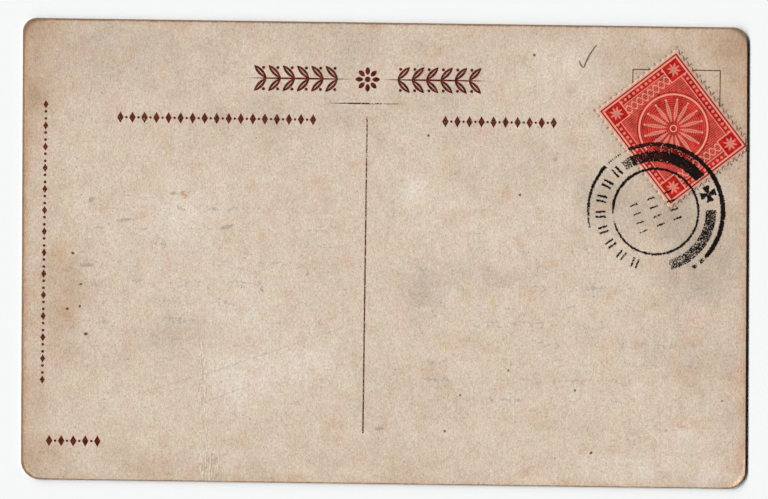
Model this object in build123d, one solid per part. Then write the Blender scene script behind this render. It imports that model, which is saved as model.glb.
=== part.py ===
from build123d import *
import math
import os

# An old divided-back postcard that lies picture side down: a pasteboard of five plies, the
# letterpress ornaments and rules of its address side, a gummed stamp and the postmark struck
# over both. Lengths are in millimetres and angles in degrees, anticlockwise from +X.
# +X runs along the long side towards the stamp, +Y towards the heading, +Z out of the address
# side. The origin is the middle of the picture side.

# Card
card_length = 139.7
card_height = 88.9
cut_skew = 0.8
head_left_radius = 2.7
head_right_radius = 2.8
foot_right_radius = 3.4
foot_left_radius = 3.7

# Thickness of each ply and film
picture_film = 0.01
liner_thickness = 0.09
paste_film = 0.01
core_thickness = 0.15
ink_film = 0.01
gum_film = 0.02
stamp_thickness = 0.09

# Picture
picture_margin = 4.5

# Heading: two leafy sprays that grow away from a rosette
print_axis_shift = -3.65
heading_length = 46.5
heading_from_head = 11.0
stem_width = 0.36
leaf_length = 3.5
leaf_width = 1.15
leaf_angle = 46.0
leaf_pitch = 2.75
vein_length = 2.3
vein_width = 0.16
berry_radius = 0.3
berry_ahead = 0.6
berry_spread = 2.05
rosette_petals = 8
rosette_radius = 2.4
rosette_petal_width = 0.9
rosette_petal_start = 0.85
rosette_eye_radius = 0.55
rosette_clearance = 0.6

# Rules
heading_rule_length = 16.0
heading_rule_width = 0.3
heading_rule_drop = 4.65
dividing_rule_width = 0.28
dividing_rule_drop = 2.5
dividing_rule_from_foot = 9.75

# Ornament rows in the places of the two labels
lozenge_width = 1.25
lozenge_height = 2.2
lozenge_pitch = 2.32
bead_radius = 0.24
label_drop = 3.25
message_label_from_left = 17.65
message_label_to_rule = 9.4
address_label_to_rule = 13.85
address_label_from_right = 36.3

# Bead rule along the left edge, and the mark in the lower left corner
side_rule_from_left = 4.3
side_rule_from_head = 16.55
side_rule_from_foot = 19.15
side_bead_radius = 0.27
side_bead_pitch = 1.36
side_lozenge_width = 1.0
side_lozenge_height = 1.6
side_lozenge_every = 3
corner_mark_from_left = 5.15
corner_mark_from_foot = 7.5
corner_mark_lozenges = 5

# Stamp box
stamp_box_from_right = 5.5
stamp_box_from_head = 8.3
stamp_box_width = 17.0
stamp_box_height = 16.0
stamp_box_line = 0.18

# Stamp
stamp_from_right = 14.48
stamp_from_head = 19.65
stamp_turn = 38.1
stamp_width = 20.0
stamp_height = 24.0
stamp_margin = 0.8
short_side_teeth = 15
long_side_teeth = 17
perforation_diameter = 0.9

# Stamp design
frame_line = 0.3
frame_gap = 0.25
medallion_radius = 6.4
medallion_gap = 0.35
medallion_petals = 16
medallion_eye = 1.2
medallion_petal_reach = 5.75
petal_width = 0.7
corner_block = 3.4
corner_petals = 8
corner_flower_radius = 1.4
corner_petal_width = 0.42

# Postmark
postmark_from_right = 17.67
postmark_from_head = 35.7
inner_ring_radius = 8.05
inner_ring_width = 0.38
bar_clearance = 1.2
bar_depth = 2.06
outer_ring_clearance = 0.9
outer_ring_width = 0.8
upper_bar_start = 37.6
upper_bar_end = 116.8
lower_bar_start = -75.0
lower_bar_end = 2.4
right_arc_start = -56.0
right_arc_end = 114.8
left_arc_start = 138.8
left_arc_end = 194.8
cross_angle = 19.2
cross_span = 3.1
cross_waist = 0.5
cross_flare = 1.5
tick_count = 8
tick_first = 134.8
tick_last = 248.8
tick_length = 1.9
tick_width = 0.42
tick_pair_pitch = 0.95
date_turn = 112.0
date_rows = 3
date_row_pitch = 3.5
date_strokes = 4
date_stroke_pitch = 1.8
date_stroke_height = 1.6
date_stroke_width = 0.3

# Pencil tick
pencil_from_right = 31.1
pencil_from_head = 6.0
pencil_width = 3.4
pencil_height = 4.6
pencil_down_width = 0.85
pencil_down_height = 1.4
pencil_bow = 0.25
pencil_line = 0.3

# Edges of the card
left_edge = -card_length / 2
right_edge = card_length / 2
head_edge = card_height / 2
foot_edge = -card_height / 2

# Heights of the plies and films above the table
picture_liner_foot = picture_film
front_paste_foot = picture_liner_foot + liner_thickness
core_foot = front_paste_foot + paste_film
back_paste_foot = core_foot + core_thickness
address_liner_foot = back_paste_foot + paste_film
address_face = address_liner_foot + liner_thickness
stamp_foot = address_face + gum_film
stamp_face = stamp_foot + stamp_thickness
stamp_print_face = stamp_face + ink_film

# Lines that the printing is set out from
print_axis = print_axis_shift
heading_y = head_edge - heading_from_head
heading_rule_y = heading_y - heading_rule_drop
label_y = heading_rule_y - label_drop


def film(outline, foot, thickness):
    """A closed film: a flat outline set at its foot height and thickened upwards."""
    return extrude(Pos(0, 0, foot) * outline, thickness, dir=(0, 0, 1))


def leaf(length, width):
    """A pointed outline along +X from the origin: two arcs of equal bulge that meet at both tips."""
    upper = ThreePointArc((0, 0), (length / 2, width / 2), (length, 0))
    lower = ThreePointArc((length, 0), (length / 2, -width / 2), (0, 0))
    return make_face([upper, lower])


def lozenge(width, height):
    """A diamond about the origin."""
    return Polygon((width / 2, 0), (0, height / 2), (-width / 2, 0), (0, -height / 2))


def arc_band(inner, outer, start, end):
    """The part of a ring between two radii and two angles."""
    near = CenterArc((0, 0), inner, start, end - start)
    far = CenterArc((0, 0), outer, start, end - start)
    return make_face([near, far, Line(near @ 0, far @ 0), Line(near @ 1, far @ 1)])


def petal_ring(count, inner, outer, width):
    """Leaves set like spokes from an inner to an outer radius."""
    petals = [Rot(0, 0, 360 * k / count) * Pos(inner, 0) * leaf(outer - inner, width) for k in range(count)]
    return Sketch() + petals


def steps(start, end, pitch):
    """Places from start towards end, one pitch apart, centred in the span, at least one."""
    count = max(1, int((end - start) / pitch) + 1)
    first = (start + end - (count - 1) * pitch) / 2
    return [first + k * pitch for k in range(count)]


def lozenge_row(start, end):
    """Lozenges along X between two places, with a bead in the middle of each gap."""
    places = steps(start + lozenge_width / 2, end - lozenge_width / 2, lozenge_pitch)
    diamonds = [Pos(x, 0) * lozenge(lozenge_width, lozenge_height) for x in places]
    beads = [Pos(x + lozenge_pitch / 2, 0) * Circle(bead_radius) for x in places[:-1]]
    return Sketch() + diamonds + beads


def card_outline():
    """The card's edge: four straight cuts, a little out of square, with a worn round at each corner."""
    lean = cut_skew / 2
    corners = [
        (left_edge - lean, head_edge),
        (right_edge - lean, head_edge),
        (right_edge + lean, foot_edge),
        (left_edge + lean, foot_edge),
    ]
    radii = [head_left_radius, head_right_radius, foot_right_radius, foot_left_radius]
    return make_face(FilletPolyline(*corners, radius=radii, close=True))


def spray():
    """Half of the heading: a swelled stem along +X with pairs of leaves, each with a bare line for its
    vein, and a berry between the leaves."""
    stem_start = rosette_radius + rosette_clearance
    stem_end = heading_length / 2
    reach = leaf_length * math.cos(math.radians(leaf_angle))
    shape = Pos(stem_start, 0) * leaf(stem_end - stem_start, stem_width)
    vein = Pos((leaf_length - vein_length) / 2, 0) * leaf(vein_length, vein_width)
    veined_leaf = leaf(leaf_length, leaf_width) - vein
    for x in steps(stem_start + leaf_pitch / 2, stem_end - reach, leaf_pitch):
        for side in (1, -1):
            shape += Pos(x, 0) * Rot(0, 0, side * leaf_angle) * veined_leaf
            shape += Pos(x + berry_ahead, side * berry_spread) * Circle(berry_radius)
    return shape


def heading():
    """The rosette on the print axis with a spray growing each way."""
    right = spray()
    left = mirror(right, about=Plane.YZ)
    flower = petal_ring(rosette_petals, rosette_petal_start, rosette_radius, rosette_petal_width)
    return Pos(print_axis, heading_y) * (right + left + flower + Circle(rosette_eye_radius))


def heading_rule_shape():
    """A swelled rule: widest in the middle and drawn to a point at both ends."""
    start = print_axis - heading_rule_length / 2
    return Pos(start, heading_rule_y) * leaf(heading_rule_length, heading_rule_width)


def dividing_rule_shape():
    """The upright rule from below the heading rule down to its margin at the foot."""
    top = heading_rule_y - dividing_rule_drop
    bottom = foot_edge + dividing_rule_from_foot
    return Pos(print_axis, (top + bottom) / 2) * Rectangle(dividing_rule_width, top - bottom)


def side_rule():
    """A bead rule up the left edge, in which a lozenge takes the place of every few beads."""
    x = left_edge + side_rule_from_left
    places = steps(foot_edge + side_rule_from_foot, head_edge - side_rule_from_head, side_bead_pitch)
    shape = Sketch()
    for k, y in enumerate(places):
        if k % side_lozenge_every == 0:
            shape += Pos(x, y) * lozenge(side_lozenge_width, side_lozenge_height)
        else:
            shape += Pos(x, y) * Circle(side_bead_radius)
    return shape


def corner_mark_shape():
    """A short lozenge row in the lower left corner."""
    start = left_edge + corner_mark_from_left
    end = start + (corner_mark_lozenges - 1) * lozenge_pitch + lozenge_width
    return Pos(0, foot_edge + corner_mark_from_foot) * lozenge_row(start, end)


def stamp_box():
    """A thin oblong outline."""
    x = right_edge - stamp_box_from_right - stamp_box_width / 2
    y = head_edge - stamp_box_from_head - stamp_box_height / 2
    inner = Rectangle(stamp_box_width - 2 * stamp_box_line, stamp_box_height - 2 * stamp_box_line)
    return Pos(x, y) * (Rectangle(stamp_box_width, stamp_box_height) - inner)


def perforated_sheet():
    """The stamp's paper: an oblong whose edges are bitten by half holes at an even pitch."""
    hole = Circle(perforation_diameter / 2)
    column_pitch = stamp_width / short_side_teeth
    row_pitch = stamp_height / long_side_teeth
    holes = []
    for side in (-1, 1):
        for k in range(short_side_teeth + 1):
            holes.append(Pos(k * column_pitch - stamp_width / 2, side * stamp_height / 2) * hole)
        for k in range(1, long_side_teeth):
            holes.append(Pos(side * stamp_width / 2, k * row_pitch - stamp_height / 2) * hole)
    return Rectangle(stamp_width, stamp_height) - holes


def stamp_design():
    """A framed field with a round medallion of petals and a small flower in each corner."""
    width = stamp_width - 2 * stamp_margin
    height = stamp_height - 2 * stamp_margin
    field_width = width - 2 * (frame_line + frame_gap)
    field_height = height - 2 * (frame_line + frame_gap)
    border = Rectangle(width, height) - Rectangle(width - 2 * frame_line, height - 2 * frame_line)
    petals = petal_ring(medallion_petals, medallion_eye, medallion_petal_reach, petal_width)
    disc = Circle(medallion_radius) - petals
    field = Rectangle(field_width, field_height) - Circle(medallion_radius + medallion_gap)
    flower = petal_ring(corner_petals, 0, corner_flower_radius, corner_petal_width)
    for x in (-1, 1):
        for y in (-1, 1):
            corner = Pos(x * (field_width - corner_block) / 2, y * (field_height - corner_block) / 2)
            field -= corner * flower
    return border + field + disc


def cross():
    """A cross of four arms that widen outwards."""
    arm = Polygon(
        (cross_waist / 2, 0),
        (cross_flare / 2, cross_span / 2),
        (-cross_flare / 2, cross_span / 2),
        (-cross_waist / 2, 0),
        align=None,
    )
    return Sketch() + [Rot(0, 0, 90 * k) * arm for k in range(4)]


def postmark():
    """Two rings with bars and a cross between them, pairs of graduation ticks, and tally strokes inside."""
    ring_inner = inner_ring_radius
    ring_outer = ring_inner + inner_ring_width
    bar_inner = ring_outer + bar_clearance
    bar_outer = bar_inner + bar_depth
    rim_inner = bar_outer + outer_ring_clearance
    rim_outer = rim_inner + outer_ring_width
    bar_middle = (bar_inner + bar_outer) / 2
    mark = Circle(ring_outer) - Circle(ring_inner)
    mark += arc_band(bar_inner, bar_outer, upper_bar_start, upper_bar_end)
    mark += arc_band(bar_inner, bar_outer, lower_bar_start, lower_bar_end)
    mark += arc_band(rim_inner, rim_outer, right_arc_start, right_arc_end)
    mark += arc_band(rim_inner, rim_outer, left_arc_start, left_arc_end)
    mark += Rot(0, 0, cross_angle) * Pos(bar_middle, 0) * cross()
    tick_step = (tick_last - tick_first) / (tick_count - 1)
    for k in range(tick_count):
        for side in (-1, 1):
            tick = Pos(bar_middle, side * tick_pair_pitch / 2) * Rectangle(tick_length, tick_width)
            mark += Rot(0, 0, tick_first + k * tick_step) * tick
    stroke = Rectangle(date_stroke_width, date_stroke_height)
    for row in range(date_rows):
        y = (row - (date_rows - 1) / 2) * date_row_pitch
        for k in range(date_strokes):
            x = (k - (date_strokes - 1) / 2) * date_stroke_pitch
            mark += Rot(0, 0, date_turn) * Pos(x, y) * stroke
    return Pos(right_edge - postmark_from_right, head_edge - postmark_from_head) * mark


def pencil_tick():
    """A quick tick: a short stroke down and a long one up, both bowed, in a line of even width."""
    turn = (pencil_down_width, 0)
    down = SagittaArc((0, pencil_down_height), turn, pencil_bow)
    up = SagittaArc(turn, (pencil_width, pencil_height), pencil_bow)
    x = right_edge - pencil_from_right - pencil_width / 2
    y = head_edge - pencil_from_head - pencil_height / 2
    return Pos(x, y) * (trace(down, pencil_line) + trace(up, pencil_line))


card = card_outline()
box = stamp_box()
stamp_place = Pos(right_edge - stamp_from_right, head_edge - stamp_from_head) * Rot(0, 0, stamp_turn)
stamp_sheet = (stamp_place * perforated_sheet()) & card
stamp_panel = stamp_place * Rectangle(stamp_width - 2 * stamp_margin, stamp_height - 2 * stamp_margin)
stamp_inside = stamp_place * Rectangle(
    stamp_width - perforation_diameter,
    stamp_height - perforation_diameter,
)
stamp_design_shape = (stamp_place * stamp_design()) & card
picture = Rectangle(card_length - cut_skew - 2 * picture_margin, card_height - 2 * picture_margin)
gum = film(stamp_sheet, address_face, gum_film) - film(box, address_face, ink_film)

# The postmark's ink lies on whatever is highest under it: the card, the stamp's margin or its print
mark_shape = postmark() & card
mark_on_card = mark_shape - stamp_place * Rectangle(stamp_width, stamp_height) - box
mark_on_margin = (mark_shape & stamp_inside) - stamp_panel
mark_on_print = mark_shape & stamp_panel
mark_solids = [
    film(mark_on_card, address_face, ink_film),
    film(mark_on_margin, stamp_face, ink_film),
    film(mark_on_print, stamp_print_face, ink_film),
]

message_row = lozenge_row(left_edge + message_label_from_left, print_axis - message_label_to_rule)
address_row = lozenge_row(print_axis + address_label_to_rule, right_edge - address_label_from_right)

nodes = {
    "picture_print": film(picture, 0, picture_film),
    "picture_liner": film(card, picture_liner_foot, liner_thickness),
    "front_paste": film(card, front_paste_foot, paste_film),
    "core_board": film(card, core_foot, core_thickness),
    "back_paste": film(card, back_paste_foot, paste_film),
    "address_liner": film(card, address_liner_foot, liner_thickness),
    "heading_ornament": film(heading(), address_face, ink_film),
    "heading_rule": film(heading_rule_shape(), address_face, ink_film),
    "dividing_rule": film(dividing_rule_shape(), address_face, ink_film),
    "message_label_ornament": film(Pos(0, label_y) * message_row, address_face, ink_film),
    "address_label_ornament": film(Pos(0, label_y) * address_row, address_face, ink_film),
    "side_imprint_ornament": film(side_rule(), address_face, ink_film),
    "corner_mark": film(corner_mark_shape(), address_face, ink_film),
    "stamp_box_outline": film(box, address_face, ink_film),
    "stamp_gum": gum,
    "stamp_paper": film(stamp_sheet, stamp_foot, stamp_thickness),
    "stamp_print": film(stamp_design_shape, stamp_face, ink_film),
    "postmark_ink": Compound(children=mark_solids),
    "pencil_mark": film(pencil_tick(), address_face, ink_film),
}

os.makedirs("parts", exist_ok=True)
for name, shape in nodes.items():
    export_step(shape, f"parts/{name}.step")
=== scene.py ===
import bpy
import functools
import math
import numpy as np
from mathutils import Matrix, Vector


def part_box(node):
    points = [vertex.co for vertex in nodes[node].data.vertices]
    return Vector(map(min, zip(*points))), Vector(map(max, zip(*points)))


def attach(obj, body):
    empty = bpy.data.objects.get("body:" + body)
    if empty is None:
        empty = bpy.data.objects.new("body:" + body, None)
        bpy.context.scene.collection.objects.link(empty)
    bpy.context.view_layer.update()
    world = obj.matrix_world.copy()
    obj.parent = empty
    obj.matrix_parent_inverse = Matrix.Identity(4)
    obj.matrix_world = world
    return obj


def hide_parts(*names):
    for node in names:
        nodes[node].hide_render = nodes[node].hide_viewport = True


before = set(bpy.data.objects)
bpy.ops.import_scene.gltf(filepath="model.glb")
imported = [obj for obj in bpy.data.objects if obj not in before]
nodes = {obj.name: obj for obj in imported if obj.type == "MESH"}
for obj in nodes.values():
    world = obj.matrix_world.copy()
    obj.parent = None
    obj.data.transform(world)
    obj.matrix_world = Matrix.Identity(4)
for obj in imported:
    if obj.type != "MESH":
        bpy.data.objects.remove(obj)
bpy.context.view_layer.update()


# Picture print
# The printed film of the picture side, which lies on the table: a soft brown view of hills over
# water in one ink. It is printed on the facing paper inside a plain margin, and its solid stays.
class Wire:
    """An output socket of the material being made. Arithmetic on wires adds Math nodes, and node()
    adds any other node: its settings first, then a value or a wire for each socket it names."""

    def __init__(self, tree, socket):
        self.tree = tree
        self.socket = socket

    def node(self, kind, settings, sockets, output=0):
        made = self.tree.nodes.new("ShaderNode" + kind)
        for name, value in settings.items():
            setattr(made, name, value)
        for key, value in sockets.items():
            plug(self.tree, made.inputs[key], value)
        return Wire(self.tree, made.outputs[output])

    def math(self, operation, *values):
        return self.node("Math", {"operation": operation}, dict(enumerate(values)))

    def __add__(self, other):
        return self.math("ADD", self, other)

    def __sub__(self, other):
        return self.math("SUBTRACT", self, other)

    def __rsub__(self, other):
        return self.math("SUBTRACT", other, self)

    def __mul__(self, other):
        return self.math("MULTIPLY", self, other)

    def __truediv__(self, other):
        return self.math("DIVIDE", self, other)

    def __abs__(self):
        return self.math("ABSOLUTE", self)

    __radd__ = __add__
    __rmul__ = __mul__

    def most(self, other):
        return self.math("MAXIMUM", self, other)

    def least(self, other):
        return self.math("MINIMUM", self, other)

    def wave(self, period):
        """A sine of this value with a period in millimetres."""
        return self.math("SINE", self * (2 * math.pi / period))

    def part(self, axis):
        """One coordinate of a vector, by its letter."""
        return self.node("SeparateXYZ", {}, {0: self}, axis)

    def reach(self):
        """The length of a vector."""
        return self.node("VectorMath", {"operation": "LENGTH"}, {0: self}, "Value")

    def local(self, x, y, turn=0, scale_x=1, scale_y=1):
        """A place measured from a centre, along axes turned by degrees and in units of two scales."""
        pose = {
            "Vector": self,
            "Location": (x, y, 0),
            "Rotation": (0, 0, math.radians(turn)),
            "Scale": (scale_x, scale_y, 1),
        }
        return self.node("Mapping", {"vector_type": "TEXTURE"}, pose)

    def noise(self, scale, detail=2, roughness=0.5, stretch=(1, 1)):
        """Noise from 0 to 1 with scale features to the millimetre, drawn out by two factors."""
        drawn = self.local(0, 0, 0, *stretch)
        sockets = {"Vector": drawn, "Scale": scale, "Detail": detail, "Roughness": roughness}
        return self.node("TexNoise", {"noise_dimensions": "2D"}, sockets)

    def ramp(self, low, high):
        """A smooth step from 0 at low to 1 at high; low may be the larger of the two."""
        limits = {"Value": self, "From Min": low, "From Max": high}
        return self.node("MapRange", {"interpolation_type": "SMOOTHSTEP"}, limits)

    def tint(self, first, second):
        """The first colour where this value is 0, the second where it is 1."""
        return self.node("Mix", {"data_type": "RGBA"}, {0: self, 6: first, 7: second}, 2)

    def shaded(self, grey):
        """This colour multiplied by a value."""
        mode = {"data_type": "RGBA", "blend_type": "MULTIPLY"}
        return self.node("Mix", mode, {0: 1, 6: self, 7: grey}, 2)

    def field(self, name):
        """A value that the piece's mesh carries at its points."""
        return self.node("Attribute", {"attribute_name": name}, {}, "Fac")

    def bump(self, depth):
        """A shading normal from this height, with the depth of a whole unit in millimetres."""
        return self.node("Bump", {}, {"Height": self, "Distance": depth / 1000, "Strength": 1})


def plug(tree, socket, value):
    """Links a wire to a socket, or sets the socket to a plain value."""
    if isinstance(value, Wire):
        tree.links.new(value.socket, socket)
    else:
        socket.default_value = value


def screen(red, green, blue):
    """A colour in screen values from 0 to 255, as the linear values that a shader takes."""
    value = np.array([red, green, blue]) / 255
    linear = np.where(value <= 0.04045, value / 12.92, ((value + 0.055) / 1.055) ** 2.4)
    return (*linear.tolist(), 1)


def new_material(name):
    """A material, and the piece's own coordinates in millimetres, seen from above, as a wire."""
    made = bpy.data.materials.new(name)
    made.use_nodes = True
    start = Wire(made.node_tree, None)
    metres = start.node("TexCoord", {}, {}, "Object")
    flat = {0: metres, 1: (1000, 1000, 0)}
    return made, start.node("VectorMath", {"operation": "MULTIPLY"}, flat)


def finish_material(made, **sockets):
    """Sets or links the shader's sockets, named with _ for a space."""
    shader = made.node_tree.nodes["Principled BSDF"]
    for key, value in sockets.items():
        plug(made.node_tree, shader.inputs[key.replace("_", " ")], value)
    return made


def paint(made, *names):
    """Gives carried-over solids their material."""
    for name in names:
        nodes[name].material_slots[0].material = made


def landscape():
    """Sky over three ridges of hills over rippled water and a dark bank, each edge a noise curve of x."""
    made, place = new_material("sepia_landscape")
    x = place.part("X")
    y = place.part("Y")
    along = place.node("CombineXYZ", {}, {"X": x})
    cloud = place.noise(0.03, 5, 0.6, (1, 0.4)).ramp(0.42, 0.68)
    sky = (y / 40 + 0.1).ramp(0, 1).tint(screen(226, 211, 186), screen(178, 157, 128))
    view = (cloud * 0.7).tint(sky, screen(236, 226, 206))
    ridges = ((9, 22, 0.022, 0.2), (4.5, 17, 0.04, 0.45), (0, 12, 0.07, 0.75))
    for height, swing, scale, tone in ridges:
        crest = along.noise(scale, 5, 0.55) * swing + (height - swing / 2)
        slope = place.noise(0.35, 4, 0.6) * 0.3 + tone
        hill = slope.tint(screen(196, 176, 146), screen(84, 62, 44))
        view = (crest - y).ramp(-0.15, 0.15).tint(view, hill)
    ripple = place.noise(0.5, 3, 0.6, (8, 1))
    water = ripple.ramp(0.35, 0.7).tint(screen(150, 128, 100), screen(212, 196, 168))
    view = (y + 4).ramp(0.2, -0.2).tint(view, water)
    bank = along.noise(0.06, 6, 0.65) * 16 - 35
    reeds = place.noise(0.9, 3, 0.7, (1, 3)).tint(screen(44, 31, 22), screen(110, 86, 62))
    view = (bank - y).ramp(-0.4, 0.4).tint(view, reeds)
    grain = place.noise(4, 2, 0.7)
    return finish_material(
        made,
        Base_Color=view.shaded(grain * 0.3 + 0.85),
        Roughness=grain * 0.2 + 0.45,
        Normal=grain.bump(0.01),
    )


paint(landscape(), "picture_print")


# Picture liner, core and paste
# The facing paper under the picture, the coarse pulp middle of the pasteboard, and the two films of
# paste that hold the plies together. Their edges show around the card, and their solids stay.
def stock(name, pale, dark, fleck, fibre_scale, rough):
    """Paper stock: two colours mixed by drawn-out fibre noise, with flecks and a fine fibre relief."""
    made, place = new_material(name)
    fibre = place.noise(fibre_scale, 4, 0.65, (1, 1.8))
    cloud = place.noise(0.18, 4, 0.6)
    flecks = place.noise(fibre_scale * 1.7, 2, 0.6).ramp(0.66, 0.74)
    ground = (fibre * 0.7 + cloud * 0.6 - 0.15).ramp(0.2, 0.8).tint(dark, pale)
    return finish_material(
        made,
        Base_Color=(flecks * 0.5).tint(ground, fleck),
        Roughness=fibre * 0.15 + rough,
        Normal=fibre.bump(0.02),
        Specular_IOR_Level=0.2,
    )


FACING_PAPER = stock(
    "facing_paper", screen(220, 205, 184), screen(202, 182, 156), screen(170, 142, 112), 2.2, 0.75
)
PULP_BOARD = stock(
    "pulp_board", screen(186, 164, 138), screen(140, 116, 94), screen(96, 76, 60), 1.4, 0.85
)
DRIED_PASTE = stock(
    "dried_paste", screen(176, 150, 116), screen(146, 120, 92), screen(120, 96, 70), 1, 0.6
)
paint(FACING_PAPER, "picture_liner")
paint(PULP_BOARD, "core_board")
paint(DRIED_PASTE, "front_paste", "back_paste")


# Address paper
# The facing paper of the address side, which everything seen here is printed, stuck or struck on. It
# is pasted to the core, and age has worn its cut edges, cracked a crease and toned it brown at the rim.
def box_mm(node):
    """A node's lowest and highest corners in millimetres."""
    return [np.array(corner) * 1000 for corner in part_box(node)]


liner_low, liner_high = box_mm("address_liner")
ADDRESS_FOOT = liner_low[2]
ADDRESS_FACE = liner_high[2]
HALF_HEIGHT = liner_high[1]
HALF_LENGTH = 139.7 / 2

# How far the side cuts lean from square at head and foot, and the rounds of the worn corners
LEAN = 0.4
HEAD_LEFT = 2.7
HEAD_RIGHT = 2.8
FOOT_RIGHT = 3.4
FOOT_LEFT = 3.7

# Where the stamp lies, at whose holes soil and painted shadow lie on the paper
print_low, print_high = box_mm("stamp_print")
STAMP_CENTRE = (print_low[:2] + print_high[:2]) / 2
STAMP_TURN = 38.1
STAMP_SIZE = np.array([20, 24])
TEETH = (15, 17)


def sway(t, period, seed):
    """An uneven wave from -1 to 1: three sines whose periods share no common measure."""
    turn = 2 * np.pi * t / period + seed
    second = 0.6 * np.sin(2.71 * turn + 1.3 * seed)
    third = 0.4 * np.sin(6.13 * turn + 4.1 * seed)
    return (np.sin(turn) + second + third) / 2


def bell(offset, width):
    """A bell curve: 1 at no offset, and about a third at its width."""
    return np.exp(-((offset / width) ** 2))


def rise(t, low, high):
    """A straight rise from 0 at low to 1 at high; low may be the larger of the two."""
    return np.clip((t - low) / (high - low), 0, 1)


def corner_inset(from_edge, radius):
    """How far a round corner draws a side in, this far from the edge: radius less the half chord."""
    gap = np.clip(radius - from_edge, 0, radius)
    return radius - np.sqrt(radius**2 - gap**2)


def side_cuts(y):
    """The left and right cut at a height: leaning straight lines, drawn in at the round corners."""
    lean = -LEAN * y / HALF_HEIGHT
    from_head = HALF_HEIGHT - y
    from_foot = HALF_HEIGHT + y
    left_inset = corner_inset(from_head, HEAD_LEFT) + corner_inset(from_foot, FOOT_LEFT)
    right_inset = corner_inset(from_head, HEAD_RIGHT) + corner_inset(from_foot, FOOT_RIGHT)
    return lean - HALF_LENGTH + left_inset, lean + HALF_LENGTH - right_inset


def card_grid(columns, middle_rows, corner_rows):
    """A grid whose rim is the card's outline. Its rows close up towards head and foot as 1 - cos, which
    makes the corners round, and its columns close up towards the sides by a sine."""
    arc = 1 - np.cos(np.linspace(0, np.pi / 2, corner_rows))
    foot_rows = arc * FOOT_LEFT - HALF_HEIGHT
    head_rows = HALF_HEIGHT - arc[::-1] * HEAD_RIGHT
    middle = np.linspace(foot_rows[-1], head_rows[0], middle_rows)[1:-1]
    rows = np.concatenate([foot_rows, middle, head_rows])
    share = np.linspace(0, 1, columns)
    share = share - 0.7 * np.sin(2 * np.pi * share) / (2 * np.pi)
    left, right = side_cuts(rows)
    x = left[:, None] + (right - left)[:, None] * share
    return x, np.repeat(rows[:, None], columns, axis=1)


def rim_distance(x, y):
    """The distance in from the outline: to the nearest cut, or to a corner's arc inside its square."""
    across = HALF_LENGTH - np.abs(x + LEAN * y / HALF_HEIGHT)
    down = HALF_HEIGHT - np.abs(y)
    head_radius = np.where(x < 0, HEAD_LEFT, HEAD_RIGHT)
    foot_radius = np.where(x < 0, FOOT_LEFT, FOOT_RIGHT)
    radius = np.where(y > 0, head_radius, foot_radius)
    arc = radius - np.hypot(np.maximum(radius - across, 0), np.maximum(radius - down, 0))
    return np.maximum(np.minimum(np.minimum(across, down), arc), 0)


def closed_sheet(x, y, face, foot, fields):
    """A closed sheet over a grid, between two heights, walled at its rim, with its fields on both sides."""
    rows, columns = x.shape
    index = np.arange(rows * columns).reshape(rows, columns)
    quads = np.stack([index[:-1, :-1], index[:-1, 1:], index[1:, 1:], index[1:, :-1]], -1).reshape(-1, 4)
    rim = np.concatenate([index[0, :-1], index[:-1, -1], index[-1, :0:-1], index[:0:-1, 0]])
    under = rim + rows * columns
    walls = np.stack([rim, under, np.roll(under, -1), np.roll(rim, -1)], -1)
    faces = np.concatenate([quads, quads[:, ::-1] + rows * columns, walls])
    sides = [np.stack(np.broadcast_arrays(x, y, z), -1).reshape(-1, 3) for z in (face, foot)]
    return np.concatenate(sides), faces, {key: np.tile(values.ravel(), 2) for key, values in fields.items()}


def show(name, data):
    """A new object with this data in the scene."""
    made = bpy.data.objects.new(name, data)
    bpy.context.scene.collection.objects.link(made)
    return made


def piece(name, points, faces, fields, made, replaced, slot):
    """A mesh from points in millimetres, quads and values at its points. It stands for a solid."""
    mesh = bpy.data.meshes.new(name)
    mesh.from_pydata(points / 1000, [], faces)
    for key, values in fields.items():
        values = np.ascontiguousarray(values, np.float32)
        mesh.attributes.new(key, "FLOAT", "POINT").data.foreach_set("value", values)
    normals = np.zeros(len(mesh.polygons) * 3, np.float32)
    mesh.polygons.foreach_get("normal", normals)
    mesh.polygons.foreach_set("use_smooth", normals[2::3] > 0.7)
    mesh.materials.append(made)
    made_piece = show(name, mesh)
    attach(made_piece, "root")
    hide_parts(replaced)


def blots(x, y, marks):
    """Soft blots added up: for each, a weight times a bell curve of the distance over its two radii."""
    total = np.zeros_like(x)
    for centre_x, centre_y, radius_x, radius_y, weight in marks:
        total += weight * bell(x - centre_x, radius_x) * bell(y - centre_y, radius_y)
    return total


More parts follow.
